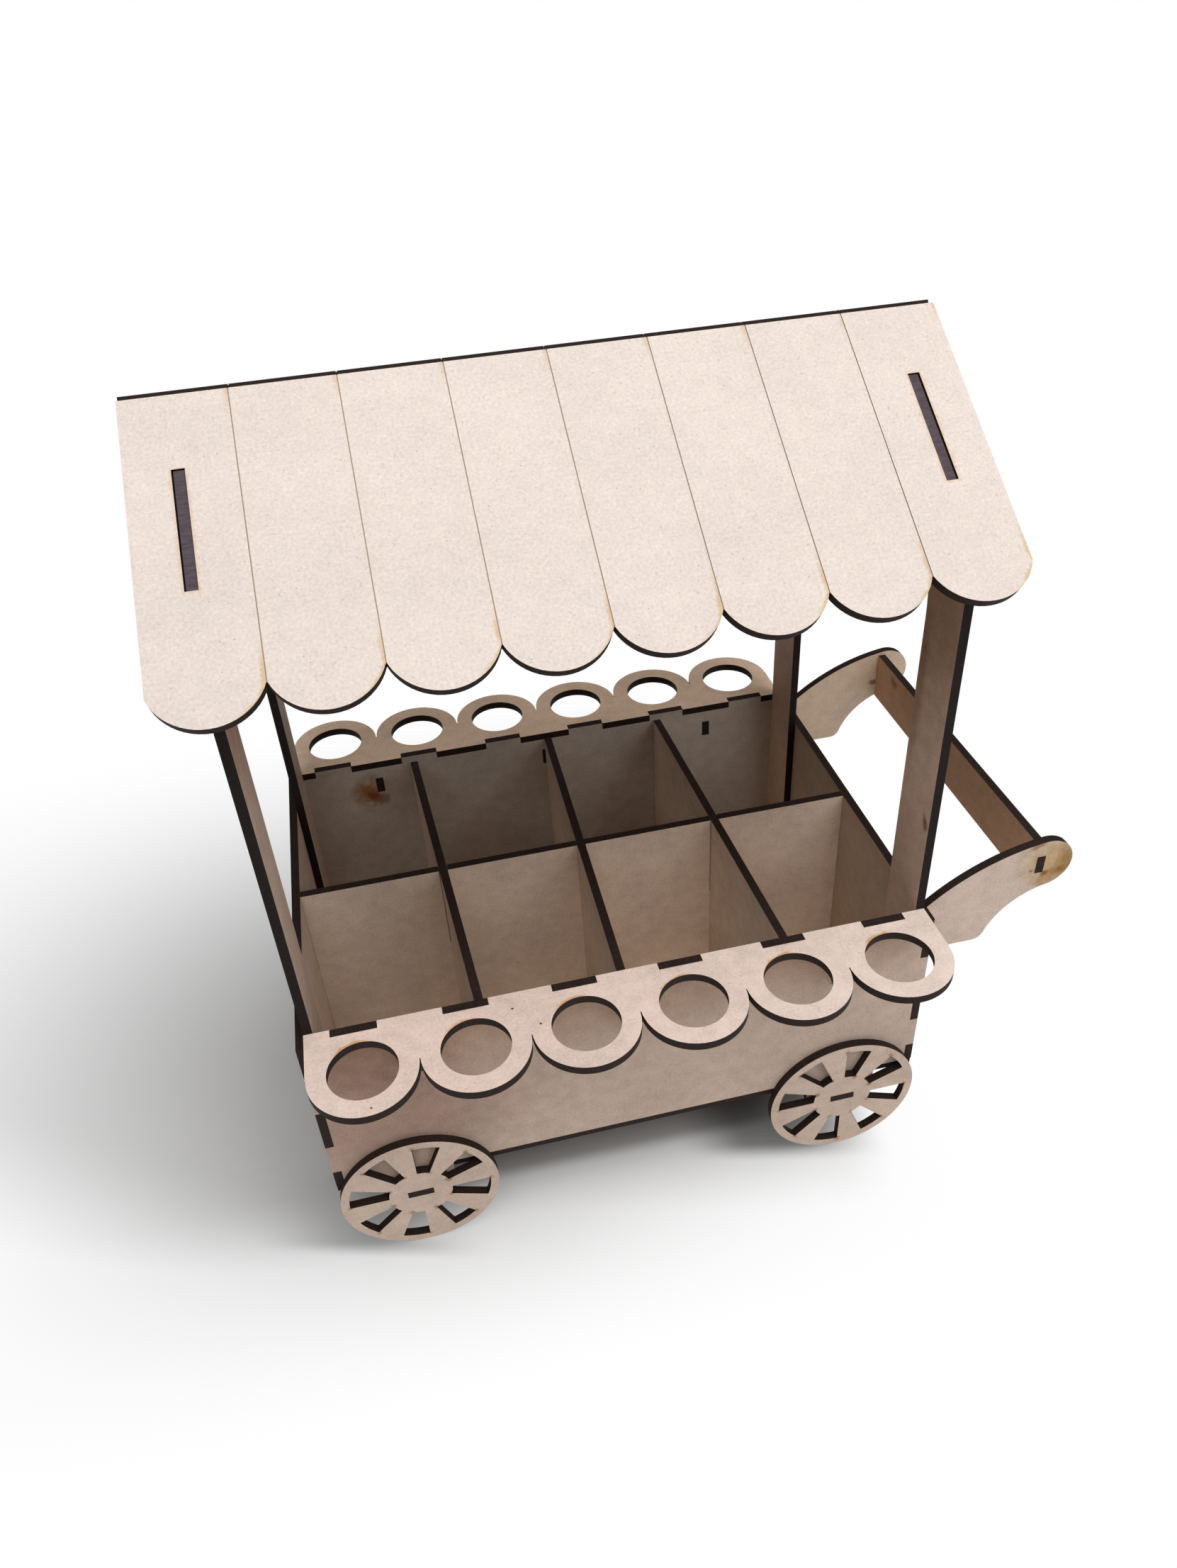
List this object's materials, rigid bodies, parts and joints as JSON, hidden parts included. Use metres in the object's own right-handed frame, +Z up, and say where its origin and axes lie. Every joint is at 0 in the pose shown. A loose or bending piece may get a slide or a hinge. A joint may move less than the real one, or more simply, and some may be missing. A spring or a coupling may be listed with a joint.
{
  "type": "candy cart",
  "caption": "Laser-cut board candy cart with a striped gable roof, a divided box, two cup shelves, a push handle and four spoked wheels.",
  "frame": {"origin": "middle of the cart's plan at the level the wheels stand on", "axes": "+Z up, -Y towards the front of the cart, +X towards the push handle"},
  "size_m": [0.276, 0.2102, 0.2928],
  "materials": {
    "wall_board": "matte",
    "inner_board": "matte",
    "shelf_board": "matte",
    "frame_board": "matte",
    "roof_board": "matte",
    "handle_board": "matte",
    "wheel_board": "matte"
  },
  "bodies": {
    "root": {"front_wall": "wall_board", "back_wall": "wall_board", "left_end_wall": "wall_board", "right_end_wall": "wall_board", "floor_board": "inner_board", "long_divider": "inner_board", "left_divider": "inner_board", "middle_divider": "inner_board", "right_divider": "inner_board", "front_shelf": "shelf_board", "back_shelf": "shelf_board", "front_left_bracket": "shelf_board", "front_middle_bracket": "shelf_board", "front_right_bracket": "shelf_board", "back_left_bracket": "shelf_board", "back_middle_bracket": "shelf_board", "back_right_bracket": "shelf_board", "left_end_frame": "frame_board", "right_end_frame": "frame_board", "front_roof": "roof_board", "back_roof": "roof_board", "front_handle_arm": "handle_board", "back_handle_arm": "handle_board", "handle_bar": "handle_board", "left_axle_board": "inner_board", "right_axle_board": "inner_board", "front_left_wheel": "wheel_board", "front_right_wheel": "wheel_board", "back_left_wheel": "wheel_board", "back_right_wheel": "wheel_board"}
  },
  "joints": []
}
